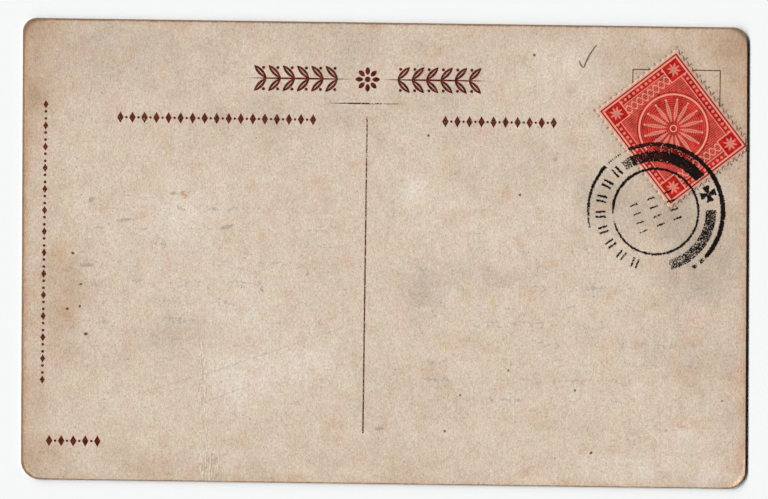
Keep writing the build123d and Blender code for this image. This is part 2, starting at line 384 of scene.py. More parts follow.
# Brown toning, red-brown foxing, grey soiling and paler rubbed places: x, y, two radii and a weight
TONED = (
    (-69.5, 33, 3, 7, 0.35), (-66, 28, 7, 8, 0.3), (-67, 40.5, 6, 5.5, 0.2),
    (-60, 41, 9, 4, 0.12), (-61.5, -8, 5.5, 8, 0.5), (-62.5, -19, 4.5, 5, 0.25),
    (-66, -40, 7, 5, 0.22), (66, 40.5, 6, 5, 0.26), (66, 12, 6, 14, 0.14),
    (-31, -43, 9, 3, 0.12), (-45, -41.5, 14, 3.5, 0.12), (6, -42, 10, 4, 0.2),
    (50, 35, 12, 9, 0.28), (65, 33, 5, 8, 0.15), (-66, 5, 4, 6, 0.2),
    (67, -28, 4, 14, 0.18), (-66.5, -26, 4, 5, 0.15), (65.5, 26, 4.5, 8, 0.24),
    (45, 38, 9, 6, 0.14),
)
FOXED = (
    (-61.4, -10.8, 2.8, 3.6, 0.6), (-62.3, -1.6, 2, 2.6, 0.5), (-58, 0.5, 3, 3, 0.35),
    (-10.2, -33.2, 3, 2.4, 0.95), (0.8, -32.4, 1.8, 3.4, 0.6), (29, -41.2, 2.4, 1.8, 1),
    (32.3, -29, 3, 2.6, 0.45), (-27.3, -36.6, 3.2, 2.6, 0.4), (60.5, -14.5, 2.6, 3, 0.7),
    (59, -24.5, 2.4, 3.4, 0.5), (44.5, -32.5, 2.6, 1.6, 0.5), (51, -35.5, 1.8, 1.4, 0.5),
    (12, -41, 3.6, 2.4, 0.5), (-4.5, -39, 4.4, 2.2, 0.5), (57.5, -32.8, 4.6, 1.8, 0.45),
    (-27, -0.6, 3.4, 2.2, 0.45), (-11.4, 11.2, 3.4, 2.6, 0.4), (28, 19.6, 4, 2.6, 0.35),
    (9.8, 39.4, 2.4, 1.4, 0.7), (9.5, -23.4, 5.5, 2.4, 0.6),
)
SOILED = (
    (-45, 40, 14, 8, 0.4), (-10, 39, 14, 7, 0.35), (15, 38, 10, 6, 0.2),
    (-60, 37, 8, 7, 0.25), (-25, 27, 26, 7, 0.28), (8, 27, 12, 8, 0.3),
    (28, 18, 10, 5, 0.27), (40, 10, 6, 9, 0.38), (52, 9, 10, 11, 0.58),
    (62, 2, 8, 13, 0.48), (62, -5.5, 8, 4, 0.25), (58, -18, 10, 9, 0.32),
    (7, -5.5, 7, 5, 0.52), (-42, -16.7, 5.5, 4.5, 0.5), (21.4, -4.6, 8, 1.8, 0.4),
    (-4, -29, 6, 8, 0.24), (8, -28, 6, 6, 0.27),
)
RUBBED = (
    (6, 12.6, 5, 5.5, 0.6), (-58.6, 10.6, 2.6, 6, 0.5), (-37, 8, 9, 7, 0.4),
    (-24, -5, 10, 6, 0.35), (-21, -22, 13, 6, 0.6), (-47, -29, 7, 3.2, 0.32),
    (60, -34, 11, 2.4, 0.5), (36, 37, 9, 6, 0.4), (28, 6, 9, 5, 0.3),
    (50, -40, 14, 3.5, 0.4), (22, -36, 7, 4, 0.25), (-66, -32, 3, 4, 0.35),
    (-28, -12, 9, 5, 0.3), (65, -41.5, 5, 3.5, 0.45), (-29, -28, 6, 5, 0.4),
    (-46, 5, 9, 5, 0.3), (11, 5, 9, 4, 0.35), (-40, -5.5, 5, 4, 0.25),
)


def address_sheet():
    """The card's outline as a thin sheet. Its face falls by a bell curve at the worn rim, dips along the
    crease and sinks a little in long uneven waves, and its cuts are nibbled inwards by a wave."""
    x, y = card_grid(236, 118, 13)
    rim = rim_distance(x, y)
    near = np.exp(-rim / 0.9)
    nibble = np.where(y > 0, 0.07, 0.02) * (1 + sway(x, 19, 1.7))
    nibble += 0.22 * bell(x + 44.9, 0.7) * (y > 0)
    worn_y = y - np.sign(y) * near * nibble * (HALF_HEIGHT - np.abs(y) < 4)
    worn_x = x + near * 0.05 * (1 + sway(y, 13, 0.6)) * (x + HALF_LENGTH < 4)

    from_left = x + LEAN * y / HALF_HEIGHT + HALF_LENGTH
    from_right = 2 * HALF_LENGTH - from_left
    from_head = HALF_HEIGHT - y
    from_foot = HALF_HEIGHT + y
    handled = 1 - 0.85 * np.exp(-from_right / 2.5)
    wear = 0.03 * bell(rim, 0.35) * handled
    crease_x = -34.9 + 0.5 * sway(y, 17, 0.4)
    crease = 0.012 * bell(x - crease_x, 0.8) * rise(y, -14, -22)
    waves = 0.004 * (1 + sway(x + 0.4 * y, 31, 2.2)) * rise(rim, 0, 3)
    face = ADDRESS_FACE - wear - crease - waves

    drift_x = x + 1.6 * sway(y + 0.3 * x, 14, 3.3)
    drift_y = y + 1.3 * sway(x - 0.4 * y, 11, 0.9)
    left_toning = 0.1 * np.exp(-from_left / 2.5) + 0.33 * np.exp(-from_left / 13)
    right_toning = 0.2 * np.exp(-from_right / 3) + 0.26 * np.exp(-from_right / 9)
    end_toning = 0.36 * np.exp(-from_head / 5) + 0.27 * np.exp(-from_foot / 7)
    side_browning = rise(from_left, 1.9, 0.4) + 0.6 * rise(from_right, 2.4, 0.4)
    end_browning = 0.45 * rise(from_head, 1.6, 0.4) + 0.4 * rise(from_foot, 1.8, 0.2)
    from_side = np.minimum(from_left, from_right)
    from_end = np.minimum(from_head, from_foot)
    corner = np.exp(-(from_side**2 + from_end**2) / 8)
    # Widths of the dark band along the cuts, which is soil and painted shade: widest at the left cut and at
    # the head, wider at the upper right corner than at the other corners, and narrowest at the right cut
    side_grime_and_shade = 0.03 + 0.56 * np.exp(-from_left / 2.5)
    corner_grime_and_shade = np.where((x > 0) & (y > 0), 0.6, 0.4) * corner
    end_grime_and_shade = 0.52 * np.exp(-from_head / 2.5) + 0.2 * np.exp(-from_foot / 2.5)
    fields = {
        "rim": rim,
        "corner": corner,
        "dirt": rim / (side_grime_and_shade + corner_grime_and_shade + end_grime_and_shade),
        "toning": blots(drift_x, drift_y, TONED) + left_toning + right_toning + end_toning,
        "browning": side_browning + end_browning,
        "foxing": blots(drift_x, drift_y, FOXED),
        "soiling": blots(drift_x, drift_y, SOILED),
        "rubbing": blots(drift_x, drift_y, RUBBED),
    }
    return closed_sheet(worn_x, worn_y, face, ADDRESS_FOOT, fields)


def straight_mark(place, start, end, width):
    """A thin straight mark from one place to another that fades at both ends."""
    run = math.dist(start, end)
    near = place.local(*start, math.degrees(math.atan2(end[1] - start[1], end[0] - start[0])))
    along = near.part("X")
    return abs(near.part("Y")).ramp(width, 0) * along.ramp(0, run * 0.2) * along.ramp(run, run * 0.8)


def strongest(marks):
    """The greatest of several values at each place."""
    return functools.reduce(Wire.most, marks)


def spots(place, ragged, marks):
    """The strongest of a set of small blots, each an ellipse whose edge a noise makes ragged."""
    blotted = []
    for x, y, radius_x, radius_y, turn in marks:
        near = place.local(x, y, turn, radius_x, radius_y).reach()
        blotted.append((near + (ragged - 0.5) * 1.6).ramp(1.25, 0.45))
    return strongest(blotted)


def stained(place, coarse, soil):
    """Pale paper, stained where the sheet's fields say, with each outline broken by a noise. Its hue drifts
    a little between pink and green and between blue and yellow."""
    cloud = place.noise(0.11, 4, 0.55)
    patch = place.noise(0.2, 3, 0.45)
    rub = place.local(-23, 9).noise(0.09, 5, 0.6)
    layers = (
        ("toning", cloud, 0.9, 0, 1.3, 1, (178, 146, 117)),
        ("soiling", soil, 1, 0, 1.1, 1, (180, 163, 146)),
        ("rubbing", rub, 1, 0, 1, 1, (226, 212, 197)),
        ("foxing", patch, 1.6, 0.1, 1.5, 1, (198, 158, 126)),
        ("browning", patch, 1.3, 0, 1.2, 1, (203, 163, 130)),
        ("browning", coarse, 1.6, 0.5, 1.3, 0.36, (126, 112, 99)),
    )
    ground = screen(214, 196, 176)
    for name, noise, pull, low, high, strength, colour in layers:
        cover = (place.field(name) + (noise - 0.5) * pull).ramp(low, high) * strength
        ground = cover.tint(ground, screen(*colour))
    pink = place.local(5, 41).noise(0.25, 3, 0.5)
    ground = ground.shaded(pink.tint((1.03, 0.97, 1, 1), (0.97, 1.03, 1, 1)))
    yellow = place.local(13, -37).noise(0.25, 3, 0.5)
    return ground.shaded(yellow.tint((1, 1, 1.06, 1), (1, 1, 0.94, 1)))


def ghost_writing(place):
    """How strongly old pen strokes show through: contour lines of a noise, kept to rows and broken up."""
    x = place.part("X")
    y = place.part("Y")
    curls = abs(place.noise(0.5, 2, 0.5, (1.5, 1)) - 0.5).ramp(0.05, 0)
    rows = y.wave(3.6).ramp(0, 0.8)
    runs = place.noise(0.14, 2, 0.5, (1, 0.5)).ramp(0.47, 0.6)
    address = y.ramp(6, 3) * y.ramp(-34, -28) * x.ramp(2, 8) * x.ramp(66, 58)
    message = y.ramp(12, 9) * y.ramp(-18, -14) * x.ramp(-63, -58) * x.ramp(-6, -12)
    return curls * rows * runs * address.most(message)


# Small marks on the paper: x, y, two radii and a turn in degrees
SMUDGES = (
    (-57.2, -3, 1.3, 0.5, 10), (-56.4, 9.6, 0.8, 0.5, 30), (-50, 5.8, 1.8, 0.35, 5),
    (-30.6, 4.6, 1.6, 0.4, 20), (32.8, 18.6, 0.5, 0.5, 0), (-0.6, -33.8, 1, 0.35, 0),
    (-14.8, -4.2, 0.6, 0.35, 45), (-23.5, -7.4, 0.65, 0.3, -45), (-40.6, 11, 0.9, 0.35, 0),
)
RUST = ((-38.8, 10.8, 1, 0.7, 60),)
BLUSH = ((32.2, -1.4, 1.2, 0.9, 0),)
MOULD = ((21, -9.4, 0.5, 0.5, 0), (12.4, -17.8, 0.6, 0.6, 0))
FLYSPECKS = (
    (-57.3, -16.3, 0.45, 0.35, 0), (-58.4, -6.7, 0.4, 0.22, 20), (12.1, -34.1, 0.26, 0.26, 0),
    (8.2, 22.8, 0.3, 0.3, 0), (26, 11.6, 0.25, 0.25, 0), (28.4, 38.6, 0.3, 0.3, 0),
    (-60.9, -11.5, 0.28, 0.28, 0), (-58.5, -11, 0.28, 0.28, 0), (-60, -0.8, 0.3, 0.25, 0),
    (24.2, -22.3, 0.34, 0.38, 0), (15, -27.1, 0.3, 0.3, 0), (37.1, -25.9, 0.24, 0.28, 30),
    (65.5, -27.6, 0.25, 0.22, 0), (40.4, -37.9, 0.32, 0.22, 40),
)


def spotted(place, coarse, soil, ground):
    """A ground with its small marks on it, and with fine dark pricks where it is soiled."""
    mottled = place.noise(1.6, 2, 0.6).ramp(0.35, 0.65)
    layers = (
        (SMUDGES, 0.5, (142, 130, 122)),
        (RUST, mottled * 0.7, (178, 128, 82)),
        (BLUSH, 0.3, (212, 164, 118)),
        (MOULD, 0.5, (194, 184, 104)),
        (FLYSPECKS, 0.9, (48, 35, 27)),
    )
    for marks, strength, colour in layers:
        ground = (spots(place, coarse, marks) * strength).tint(ground, screen(*colour))
    scatter = {"voronoi_dimensions": "2D"}
    nearest = place.node("TexVoronoi", scatter, {"Vector": place, "Scale": 0.3}, "Distance")
    pricks = nearest.ramp(0.055, 0.025) * soil.ramp(0.48, 0.6)
    return (pricks * 0.5).tint(ground, screen(96, 78, 66))


# Strands of the crease: x, the heights of top and foot, and a shift along the noise
STRANDS = (
    (-35, -15, -30, 3), (-34.2, -22, -31, 9), (-33.8, -29, -37, 21),
    (-34.6, -36, -46, 15), (-33, -37, -46, 27), (-31.4, -37, -46, 33),
)


def cracked_crease(place):
    """Thin broken upright strands, each near a wandering line, and upright flecks where the paper is
    crushed: the raised fibres, which catch the light, and the shade beside them."""
    x = place.part("X")
    y = place.part("Y")
    flecks = place.noise(2.4, 2, 0.6, (1, 3.5))
    foot_end = place.local(-33.2, -41.5, 0, 2.8, 6.5).reach().ramp(1, 0.5)
    upper_end = place.local(-34.6, -25.5, 0, 1.4, 11).reach().ramp(1, 0.4) * 0.7
    crushed = foot_end.most(upper_end)
    raised = [flecks.ramp(0.57, 0.67) * crushed]
    shade = [flecks.ramp(0.45, 0.35) * crushed]
    for strand_x, top, foot, drift in STRANDS:
        shifted = place.local(0, drift)
        wander = shifted.noise(0.2, 5, 0.7, (1000, 1)) * 2 - 1
        broken = shifted.noise(0.8, 3, 0.65, (1, 2)).ramp(0.43, 0.57)
        spread = broken * y.ramp(top, top - 3) * y.ramp(foot - 1.5, foot + 1.5)
        off = x - wander - strand_x
        raised.append(abs(off).ramp(0.15, 0.02) * spread)
        shade.append(abs(off - 0.22).ramp(0.15, 0.02) * spread)
    return strongest(raised), strongest(shade)


def scratched(place, coarse, ground):
    """A ground with three fine scratches and a raised ridge, pale on its fibres and dark between them."""
    scratches = strongest([
        straight_mark(place, (-50, -28.6), (-28, -21.8), 0.3),
        straight_mark(place, (-37, -24.8), (-3.5, -12.9), 0.3),
        straight_mark(place, (-35.5, -29.6), (-23.9, -25.2), 0.3),
    ])
    ground = (scratches * coarse * 0.38).tint(ground, screen(146, 128, 112))
    ridge = straight_mark(place, (38.5, -37.4), (60.9, -31.9), 0.35)
    ground = (ridge * coarse.ramp(0.42, 0.56) * 0.5).tint(ground, screen(236, 221, 198))
    return (ridge * coarse.ramp(0.46, 0.34) * 0.4).tint(ground, screen(140, 122, 104))


def worn_rim(place, coarse, ground):
    """A ground with pale frayed fibres at the lower corners, rubbed brown upper corners, a peeled line at
    the lower left corner, and a dark band of soil and painted shade along the cuts."""
    x = place.part("X")
    y = place.part("Y")
    corner = place.field("corner")
    rim = place.field("rim") + (coarse - 0.5) * 0.9
    worn = corner.ramp(0.05, 0.6) * rim.ramp(0.12, 0.3) * rim.ramp(1.5, 0.75)
    frayed = worn * y.ramp(0, -20) * (x.ramp(-20, 20) * 0.6 + 0.3)
    frayed = frayed.most(straight_mark(place, (69.95, -36.6), (69.8, -42.6), 0.4) * 0.7)
    ground = frayed.tint(ground, screen(236, 192, 150))
    fluff = place.noise(2.2, 3, 0.7, (0.7, 1.4)).ramp(0.48, 0.6)
    ground = (frayed * fluff).tint(ground, screen(253, 236, 214))
    ground = (worn * y.ramp(0, 20) * 0.45).tint(ground, screen(126, 98, 76))
    peeled = corner * rim.ramp(0.75, 0.95) * rim.ramp(1.35, 1.1) * x.ramp(0, -20)
    ground = (peeled * y.ramp(0, -20) * 0.8).tint(ground, screen(122, 100, 82))
    # Painted shade and soil: a dark band along the cuts, whose widths the sheet carries
    edge_grime_and_shade = (place.field("dirt") + (coarse - 0.5) * 1.2).ramp(1.15, 0.3)
    return (edge_grime_and_shade * 0.85).tint(ground, screen(118, 98, 82))


def stamp_dirt_and_shadow(place):
    """Soil and painted shadow about the stamp: a halo of soil that fades outwards from its edge, and at the
    holes of each side an ellipse of soil and painted shadow that lies across it, larger and a little
    further out on the two sides to the right, away from the lamp."""
    near = place.local(*STAMP_CENTRE, STAMP_TURN)
    u = abs(near.part("X"))
    v = abs(near.part("Y"))
    half_width, half_height = STAMP_SIZE / 2
    # How far a place lies on the side away from the lamp, where the painted shadow at the holes is larger
    # and further out
    shaded_side = place.local(*STAMP_CENTRE).part("X").ramp(-2, 4)
    halo = (u - half_width).most(v - half_height).ramp(2.5, 0)
    holes = []
    sides = ((u, half_width, v, half_height, TEETH[1]), (v, half_height, u, half_width, TEETH[0]))
    for across, half, along, reach, teeth in sides:
        short = reach - along
        off = short.math("PINGPONG", short, reach / teeth) / (shaded_side * 0.04 + 0.18)
        deep = (across - shaded_side * 0.25 - (half - 0.05)) / (shaded_side * 0.06 + 0.34)
        holes.append((off * off + deep * deep).ramp(1.4, 0.3) * along.ramp(reach + 0.4, reach + 0.2))
    mark_cover = place.noise(0.5, 2, 0.6).ramp(0.3, 0.62) * 0.6 + 0.4
    return halo, strongest(holes) * mark_cover * (shaded_side * 0.1 + 0.8)


def aged_paper():
    """The address paper's finish: the stained ground, all its marks and a grain of fibres in five sizes."""
    made, place = new_material("aged_address_paper")
    coarse = place.noise(0.8, 3, 0.7, (0.9, 1.1))
    soil = place.local(31, 17).noise(0.09, 5, 0.6)
    ground = stained(place, coarse, soil)
    ground = (ghost_writing(place) * 0.5).tint(ground, screen(152, 148, 148))
    ground = spotted(place, coarse, soil, ground)
    raised, shade = cracked_crease(place)
    ground = (shade * 0.35).tint(ground, screen(140, 120, 102))
    ground = (raised * 0.45).tint(ground, screen(238, 227, 213))
    ground = scratched(place, coarse, ground)
    ground = worn_rim(place, coarse, ground)
    halo, holes = stamp_dirt_and_shadow(place)
    ground = (halo * 0.22).tint(ground, screen(176, 138, 114))
    # Painted shadow and soil at the stamp's perforation holes, heavier on the side away from the lamp
    ground = holes.tint(ground, screen(112, 103, 86))
    grain = 0.5
    for scale, weight in ((3.4, 0.39), (1.7, 0.225), (0.85, 0.125), (0.42, 0.1), (0.2, 0.07)):
        grain = grain + (place.noise(scale, 0, 0.5, (0.85, 1.25)) - 0.5) * weight
    fibres = grain.tint((0.6, 0.5, 0.375, 1), (1.4, 1.5, 1.625, 1))
    return finish_material(
        made,
        Base_Color=ground.shaded(fibres),
        Roughness=coarse * 0.15 + 0.75,
        Normal=(grain * 2 + raised).bump(0.02),
        Specular_IOR_Level=0.2,
    )


piece("address_paper", *address_sheet(), aged_paper(), "address_liner", "liner_paper")


# Letterpress printing
# The heading, the rules, the label rows, the side rule, the corner mark and the stamp box: thin films of
# maroon ink pressed into the address paper from raised type. Their solids stay.
def letterpress(name, wear, axis="Y", start=0, end=1, fainter=0):
    """Dark maroon ink whose colour thins in patches, and which a noise breaks where the type is worn: all
    over by one share, and by another that grows between two places along an axis of the card."""
    made, place = new_material(name)
    body = place.noise(1.3, 3, 0.65)
    fine = place.noise(4, 2, 0.6)
    took = fine * 0.6 + body * 0.4 - place.part(axis).ramp(start, end) * fainter
    cover = took.ramp(0.1 + wear * 0.45, 0.35 + wear * 0.45)
    return finish_material(
        made,
        Base_Color=body.ramp(0.3, 0.7).tint(screen(60, 11, 6), screen(116, 46, 35)),
        Roughness=fine * 0.3 + 0.5,
        Alpha=cover,
        Normal=fine.bump(0.01),
        Specular_IOR_Level=0.1,
    )


SMALL_TYPE = ("message_label_ornament", "address_label_ornament", "side_imprint_ornament")
paint(letterpress("letterpress_ink", 0.25), "heading_ornament", "corner_mark")
paint(letterpress("small_type_ink", 0.4), *SMALL_TYPE)
paint(letterpress("worn_rule_ink", 0.53, "Y", -5, 30, 0.07), "dividing_rule")
paint(letterpress("short_rule_ink", 0.46, "X", -6, -1.5, 0.12), "heading_rule")
paint(letterpress("box_rule_ink", 0.46), "stamp_box_outline")


# Stamp gum
# The film of dried gum under the stamp, which shows only as an amber line in the perforation. It was
# wetted and pressed down, and its solid stays.
def dried_gum():
    """A dull amber film, cracked by a fine noise."""
    made, place = new_material("dried_gum")
    cracks = place.noise(1.8, 4, 0.7)
    return finish_material(
        made,
        Base_Color=cracks.tint(screen(120, 100, 74), screen(172, 152, 118)),
        Roughness=cracks * 0.3 + 0.5,
        Normal=cracks.bump(0.01),
        Specular_IOR_Level=0.15,
    )


paint(dried_gum(), "stamp_gum")


# Stamp sheet
# The stamp's paper, stuck on askew over the box, with its corner trimmed at the card's edge. The sheet
# was torn along its rows of round holes, so each side is a row of frayed teeth.
def polar(radius, angle):
    """A place from a centre, by radius and angle in degrees."""
    return np.array([radius * math.cos(math.radians(angle)), radius * math.sin(math.radians(angle))])


STAMP_FOOT = box_mm("stamp_paper")[0][2]
STAMP_FACE = print_low[2]
PRINT_FACE = print_high[2]
HOLE_RADIUS = 0.45
TORN_SHARE = 0.75
FRAY = 0.05
CARD_EDGE_GAP = 0.06
TRIMMED_CORNER = 3
STAMP_COSINE, STAMP_SINE = polar(1, STAMP_TURN)


def from_stamp(u, v):
    """From the stamp's own axes to the card's: a turn and a shift."""
    x = STAMP_CENTRE[0] + u * STAMP_COSINE - v * STAMP_SINE
    y = STAMP_CENTRE[1] + u * STAMP_SINE + v * STAMP_COSINE
    return x, y


def to_stamp(x, y):
    """From the card's axes to the stamp's own: the shift and the turn undone."""
    x = x - STAMP_CENTRE[0]
    y = y - STAMP_CENTRE[1]
    return x * STAMP_COSINE + y * STAMP_SINE, y * STAMP_COSINE - x * STAMP_SINE


def tooth_places(size, teeth, samples):
    """Places along a perforated side: at each hole, samples of its arc at radius times sine."""
    pitch = size / teeth
    arc = HOLE_RADIUS * np.sin(np.linspace(-np.pi / 2, np.pi / 2, samples))
    centres = np.arange(teeth + 1) * pitch - size / 2
    places = (centres[:, None] + arc).ravel()
    return np.unique(np.clip(places, -size / 2, size / 2))


def from_nearest(t, step):
    """The offset of a place from the nearest whole number of steps."""
    return (t + step / 2) % step - step / 2


def bite(t, size, teeth):
    """How deep the row of holes bites at a place along a side: the half chord of the nearest hole, less
    what torn fibres fill."""
    from_hole = from_nearest(t + size / 2, size / teeth)
    return TORN_SHARE * np.sqrt(np.maximum(HOLE_RADIUS**2 - from_hole**2, 0))


def corner_hole(from_side, from_end):
    """How far a corner's hole pushes a place in, both ways: the rim goes to the hole's arc, its middle at
    the corner and its ends a radius away, and the push fades within two radii."""
    along = np.minimum(np.abs(from_end - from_side), HOLE_RADIUS)
    angle = np.pi / 4 * (1 + along / HOLE_RADIUS)
    fade = rise(np.minimum(from_side, from_end), 2 * HOLE_RADIUS, 0)
    across = HOLE_RADIUS * np.cos(angle) * fade
    onward = (HOLE_RADIUS * np.sin(angle) - along) * fade
    by_side = from_side < from_end
    return np.where(by_side, across, onward), np.where(by_side, onward, across)


def stamp_sheet():
    """An oblong grid whose rim follows the bites, fading to a plain grid within two hole radii, with teeth
    frayed by a wave. Its corner is squeezed back from the card's right cut and its rim is pressed down."""
    width, height = STAMP_SIZE
    u, v = np.meshgrid(tooth_places(width, TEETH[0], 9), tooth_places(height, TEETH[1], 9))
    from_side = width / 2 - np.abs(u)
    from_end = height / 2 - np.abs(v)
    fade_u = rise(from_side, 2 * HOLE_RADIUS, 0) * (from_end > HOLE_RADIUS)
    fade_v = rise(from_end, 2 * HOLE_RADIUS, 0) * (from_side > HOLE_RADIUS)
    push_u, push_v = corner_hole(from_side, from_end)
    fray_u = FRAY * (1 + sway(v + np.sign(u) * 3, 1.1, 0.5))
    fray_v = FRAY * (1 + sway(u + np.sign(v) * 5, 0.9, 1.9))
    torn_u = u - np.sign(u) * (push_u + fade_u * np.maximum(bite(v, height, TEETH[1]), fray_u))
    torn_v = v - np.sign(v) * (push_v + fade_v * np.maximum(bite(u, width, TEETH[0]), fray_v))
    cut = side_cuts(from_stamp(torn_u, torn_v)[1])[1] - CARD_EDGE_GAP
    cut_u = (cut - STAMP_CENTRE[0] + torn_v * STAMP_SINE) / STAMP_COSINE
    keep = width / 2 - TRIMMED_CORNER
    squeeze = np.minimum((cut_u - keep) / (width / 2 - keep), 1)
    torn_u = np.where(torn_u > keep, keep + (torn_u - keep) * squeeze, torn_u)
    x, y = from_stamp(torn_u, torn_v)
    rim = np.minimum(from_side, from_end)
    face = STAMP_FACE - 0.06 * bell(rim, 0.3)
    return closed_sheet(x, y, face, STAMP_FOOT, {"rim": rim})


def torn_paper():
    """The stamp's paper: two pale colours mixed by fibre noise, reddened by ink towards the print, and
    greyed along the torn edge by soil and by painted shade that dims the edge where the lamp lights it."""
    made, place = new_material("stamp_paper")
    fibre = place.noise(2.6, 4, 0.65, (1, 1.8))
    rim = place.field("rim")
    ground = fibre.ramp(0.2, 0.8).tint(screen(198, 170, 148), screen(218, 188, 166))
    ground = rim.ramp(0.1, 0.7).tint(ground, screen(224, 156, 136))
    return finish_material(
        made,
        # Painted shade and soil: the whole torn edge is greyed, which also dims the teeth that face the
        # lamp
        Base_Color=(rim.ramp(0.1, 0) * 0.75).tint(ground, screen(122, 113, 95)),
        Roughness=fibre * 0.15 + 0.7,
        Normal=fibre.bump(0.02),
        Specular_IOR_Level=0.15,
    )


piece("stamp_sheet", *stamp_sheet(), torn_paper(), "stamp_paper", "stamp_paper")


# Stamp engraving
# The stamp's printed design: a red letterpress print with a petalled medallion on a ruled field, beads
# round the border and a floret in each corner block. Ink stands a hair above the bare lines.
PANEL = np.array([9.2, 11.2])
OUTER_GAP = 0.55
BORDER = 1.75
FIELD = 1.95
PLAIT_MIDDLE = 8.1
PLAIT_START = 6.8
MEDALLION = 7.05
MEDALLION_LINE = 6.58
DISC = 6.4
PETALS = 16
DOT_CIRCLE = 5.6
BLOCK = 1.7


def inside(distance):
    """1 where a distance is positive and 0 where it is negative, softened over 0.1 mm."""
    return np.clip(distance / 0.1 + 0.5, 0, 1)


def petals(x, y, count, inner, outer, half_width):
    """Petals set like spokes: inside where the offset from the nearest spoke is under a parabola of the
    way along it."""
    radius = np.hypot(x, y)
    off = from_nearest(np.arctan2(y, x), 2 * np.pi / count)
    along = (radius * np.cos(off) - (inner + outer) / 2) / ((outer - inner) / 2)
    return inside(half_width * (1 - along**2) - radius * np.abs(np.sin(off)))


def engraving(u, v):
    """Ink from 0, bare, to 1, solid: bead border, ruled field with a plait, medallion and corner blocks,
    inside a gap and an outer line, which printed heavier than solid."""
    from_side = PANEL[0] - np.abs(u)
    from_end = PANEL[1] - np.abs(v)
    side = np.minimum(from_side, from_end)
    radius = np.hypot(u, v)

    ruled = 0.74 + 0.2 * np.sin(2 * np.pi * v / 0.38)
    bead_step = from_nearest(np.where(from_side < from_end, v, u), 1)
    beads = inside(0.3 - np.hypot(bead_step, side - 1.15))
    border = np.where(side < BORDER, 0.97 - 0.62 * beads, np.where(side < FIELD, 0.25, ruled))
    swing = 0.75 * np.sin(2 * np.pi * u / 2.6)
    level = np.abs(v) - PLAIT_MIDDLE
    plait = np.minimum(np.abs(level - swing), np.abs(level + swing))
    plaited = border * (1 - 0.85 * inside(0.14 - plait))
    ink = np.where((side > FIELD) & (np.abs(v) > PLAIT_START), plaited, border)

    ring = inside(MEDALLION - radius)
    ink = ink * (1 - ring) + ring
    ink = ink * (1 - inside(0.18 - np.abs(radius - MEDALLION_LINE)))
    flower = petals(u, v, PETALS, 1.2, 5.75, 0.35)
    veins = petals(u, v, PETALS, 2.2, 5.2, 0.07)
    disc = inside(DISC - radius) * (1 - 0.62 * flower + 0.4 * veins)
    ink = np.where(radius < DISC, disc * (0.84 + 0.16 * np.cos(2 * np.pi * radius / 0.42)), ink)
    off = from_nearest(np.arctan2(v, u), 2 * np.pi / PETALS)
    dots = inside(0.2 - np.hypot(radius * np.cos(off) - DOT_CIRCLE, radius * np.sin(off)))
    ink = ink * (1 - dots)
    ink = ink * (1 - inside(0.12 - np.abs(radius - 0.6)))

    corner_u = np.abs(u) - (PANEL[0] - OUTER_GAP - BLOCK)
    corner_v = np.abs(v) - (PANEL[1] - OUTER_GAP - BLOCK)
    block = BLOCK - np.maximum(np.abs(corner_u), np.abs(corner_v))
    block_ink = 1 - 0.66 * petals(corner_u, corner_v, 8, 0, 1.4, 0.21)
    ink = np.where(block > 0, block_ink, ink * (1 - inside(block + 0.2)))
    return np.where(side < OUTER_GAP, 1.3 * inside(0.26 - side), np.clip(ink, 0, 1))


def stamp_engraving():
    """A film over the panel, whose face rises with its ink from two fifths of its height."""
    u, v = np.meshgrid(np.linspace(-PANEL[0], PANEL[0], 202), np.linspace(-PANEL[1], PANEL[1], 246))
    ink = engraving(u, v)
    face = STAMP_FACE + (PRINT_FACE - STAMP_FACE) * (0.4 + 0.6 * np.minimum(ink, 1))
    return closed_sheet(*from_stamp(u, v), face, STAMP_FACE, {"ink": ink})


def red_print():
    """Red ink over pale paper by the design's ink field, thinned in patches by a noise."""
    made, place = new_material("red_stamp_ink")
    patch = place.noise(0.5, 4, 0.6)
    fine = place.noise(3.5, 2, 0.6)
    ink = place.field("ink") * (1.05 - (fine - 0.5) * 0.5 - (patch - 0.5) * 0.3)
    solid = (patch * 0.6 + fine * 0.4).ramp(0.3, 0.7).tint(screen(140, 4, 4), screen(214, 36, 30))
    colour = ink.ramp(-0.1, 1.05).tint(screen(231, 160, 138), solid)
    colour = place.field("ink").ramp(1, 1.25).tint(colour, screen(134, 34, 25))
    return finish_material(
        made,
        Base_Color=colour,
        Roughness=fine * 0.2 + 0.55,
        Normal=fine.bump(0.01),
        Specular_IOR_Level=0.1,
    )


piece("stamp_engraving", *stamp_engraving(), red_print(), "stamp_print", "stamp_ink")


# Postmark
# The mark of a metal handstamp, struck half over the stamp: two rings with bars and a cross between them,
# paired ticks and rows of short strokes, in oily black ink that took unevenly and bled at its edges.
mark_low, mark_high = box_mm("postmark_ink")
MARK_RADIUS = (mark_high[0] - mark_low[0]) / 2
MARK_CENTRE = (mark_low[0] + MARK_RADIUS, mark_high[1] - MARK_RADIUS)
BLEED = 0.22
STEP = 0.11
FILM = 0.008
GROWN = 0.1


def ground_height(x, y):
    """The height of what lies under a place: the card, the stamp's paper or its print, a little grown."""
    u, v = to_stamp(x, y)
    beyond = np.maximum(np.abs(u) - STAMP_SIZE[0] / 2, np.abs(v) - STAMP_SIZE[1] / 2)
    margin = STAMP_SIZE[0] / 2 - PANEL[0]
    on_print = np.where(beyond < GROWN - margin, PRINT_FACE, STAMP_FACE)
    return np.where(beyond < GROWN, on_print, ADDRESS_FACE)


